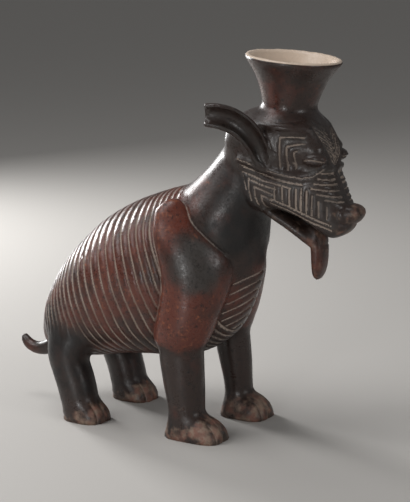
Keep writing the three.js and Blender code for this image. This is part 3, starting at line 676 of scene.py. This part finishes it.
BROWN, BRICK, EMBER = (0.032, 0.018, 0.014), (0.120, 0.030, 0.018), (0.26, 0.080, 0.036)
SOOT, SMOKE, EARTH_AND_HIGHLIGHT = (0.007, 0.006, 0.006), (0.050, 0.046, 0.042), (0.36, 0.29, 0.24)
BUFF, PINK, CREAM = (0.27, 0.185, 0.135), (0.22, 0.105, 0.075), (0.66, 0.53, 0.42)
colour = colour_mix(clouded("iron", 30, 1.5, 0.25, 0.85), BROWN, BRICK)
flecks = ramp(mottle(4.2, 4.0, 0.75), 0.52, 0.68)
colour = colour_mix(reckon("MULTIPLY", flecks, clouded("iron", 14, 1.8, 0.45, 0.95)), colour, EMBER)
colour = colour_mix(reckon("MULTIPLY", clouded("smoke", 16, 1.0, 0.25, 0.75), 0.75), colour, SMOKE)
colour = colour_mix(clouded("soot", 22, 1.3, 0.30, 0.85), colour, SOOT)
specks = ramp(mottle(2.8, 4.0, 0.7), 0.54, 0.66)
colour = colour_mix(reckon("MULTIPLY", specks, 0.75), colour, SOOT)
bare = clouded("buff", 9, 1.3, 0.35, 0.80)
colour = colour_mix(bare, colour, colour_mix(ramp(mottle(7), 0.4, 0.6), BUFF, PINK))
along_spout = tree.nodes.new("ShaderNodeVectorMath")
along_spout.operation = "DOT_PRODUCT"
set_input(along_spout, 0, where)
along_spout.inputs[1].default_value = (1000 * math.sin(SPOUT_LEAN), 0, 1000 * math.cos(SPOUT_LEAN))
rim_level = SPOUT_RIM[0] * math.sin(SPOUT_LEAN) + SPOUT_RIM[1] * math.cos(SPOUT_LEAN)
worn_lip = ramp(along_spout.outputs["Value"], rim_level - 2.0, rim_level - 1.2)
colour = colour_mix(reckon("MAXIMUM", ramp(zone("mouth"), 0.3, 0.7), worn_lip), colour, CREAM)
# Pale earth in the incised lines, and a painted edge highlight along the top and back of the shoulder seams.
earth_and_highlight = reckon("MULTIPLY", ramp(zone("chalk_and_highlight"), 0.30, 0.85), ramp(mottle(24), 0.35, 0.62, 0.45, 0.95))
colour = colour_mix(earth_and_highlight, colour, EARTH_AND_HIGHLIGHT)
shine = reckon("ADD", ramp(mottle(14), 0.35, 0.65, 0.24, 0.36), ramp(mottle(2.2, 4.0, 0.7), 0.4, 0.7, 0.0, 0.20))
dull = reckon("MAXIMUM", reckon("MAXIMUM", bare, zone("chalk_and_highlight")), reckon("MULTIPLY", clouded("soot", 22, 1.3, 0.30, 0.85), 0.35))
roughness = reckon("ADD", shine, reckon("MULTIPLY", dull, 0.34))
relief = reckon("ADD", reckon("MULTIPLY", mottle(1.6, 3.0), 0.5), reckon("MULTIPLY", mottle(6.0, 2.0), 0.8))
bump = tree.nodes.new("ShaderNodeBump")
set_input(bump, "Height", relief)
set_input(bump, "Distance", 0.0004)
set_input(bump, "Strength", 0.5)
surface = tree.nodes.new("ShaderNodeBsdfPrincipled")
set_input(surface, "Base Color", colour)
set_input(surface, "Roughness", roughness)
set_input(surface, "Specular IOR Level", 0.55)
set_input(surface, "Normal", bump.outputs[0])
output = tree.nodes.new("ShaderNodeOutputMaterial")
tree.links.new(surface.outputs[0], output.inputs["Surface"])
mesh.materials.clear()
mesh.materials.append(fired_clay)
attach(vessel, "root")
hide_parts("vessel")

# Studio: a pale floor, a large soft light over the animal's back, a weaker one ahead, and the camera
# where the photograph was taken from.
AZIMUTH, ELEVATION = math.radians(30), math.radians(11.5)
DISTANCE, LOOK_AT = 1.7, np.array([0.022, 0.0, 0.160])
PHOTO_HEIGHT, FOCAL_PIXELS = 502, 1904
back_to_camera = np.array([
    math.sin(AZIMUTH) * math.cos(ELEVATION), -math.cos(AZIMUTH) * math.cos(ELEVATION), math.sin(ELEVATION)])
right = np.array([math.cos(AZIMUTH), math.sin(AZIMUTH), 0.0])
upward = np.cross(back_to_camera, right)


def aimed(kind_data, name, place, target):
    """An object that looks from a place to a target."""
    thing = bpy.data.objects.new(name, kind_data)
    bpy.context.scene.collection.objects.link(thing)
    thing.location = place
    way = Vector((np.array(place) - np.array(target)).tolist())
    thing.rotation_mode = "QUATERNION"
    thing.rotation_quaternion = way.to_track_quat("Z", "Y")
    return thing


lens = bpy.data.cameras.new("camera")
lens.sensor_width = 36.0
lens.lens = FOCAL_PIXELS / PHOTO_HEIGHT * 36.0
lens.clip_start, lens.clip_end = 0.05, 50.0
bpy.context.scene.camera = aimed(lens, "camera", LOOK_AT + DISTANCE * back_to_camera, LOOK_AT)


def soft_light(name, azimuth, elevation, away, width, height, power):
    """A soft box at an azimuth from straight ahead of the near side, turned to the object."""
    lamp = bpy.data.lights.new(name, "AREA")
    lamp.shape = "RECTANGLE"
    lamp.size, lamp.size_y = width, height
    lamp.energy = power
    a, e = math.radians(azimuth), math.radians(elevation)
    way = np.array([math.sin(a) * math.cos(e), -math.cos(a) * math.cos(e), math.sin(e)])
    aimed(lamp, name, LOOK_AT + away * way, LOOK_AT)


soft_light("rear_light", -112, 14, 1.4, 0.35, 0.6, 16)
soft_light("side_light", 8, 6, 1.6, 0.16, 0.7, 4.5)
soft_light("fill_light", -50, 38, 1.4, 0.8, 0.8, 7)
soft_light("top_light", -60, 75, 1.4, 0.7, 0.7, 6)
soft_light("front_light", 78, 20, 1.6, 0.4, 0.6, 3)
world = bpy.data.worlds.new("studio")
bpy.context.scene.world = world
world.use_nodes = True
world.node_tree.nodes["Background"].inputs["Color"].default_value = (0.8, 0.8, 0.8, 1)
world.node_tree.nodes["Background"].inputs["Strength"].default_value = 0.20
floor_mesh = bpy.data.meshes.new("floor")
floor_mesh.from_pydata([(-20, -20, 0), (20, -20, 0), (20, 20, 0), (-20, 20, 0)], [], [(0, 1, 2, 3)])
floor = bpy.data.objects.new("floor", floor_mesh)
bpy.context.scene.collection.objects.link(floor)
pale = bpy.data.materials.new("floor")
pale.use_nodes = True
pale.node_tree.nodes["Principled BSDF"].inputs["Base Color"].default_value = (0.52, 0.50, 0.475, 1)
pale.node_tree.nodes["Principled BSDF"].inputs["Roughness"].default_value = 0.9
floor_mesh.materials.append(pale)
bpy.context.scene.view_settings.view_transform = "Standard"
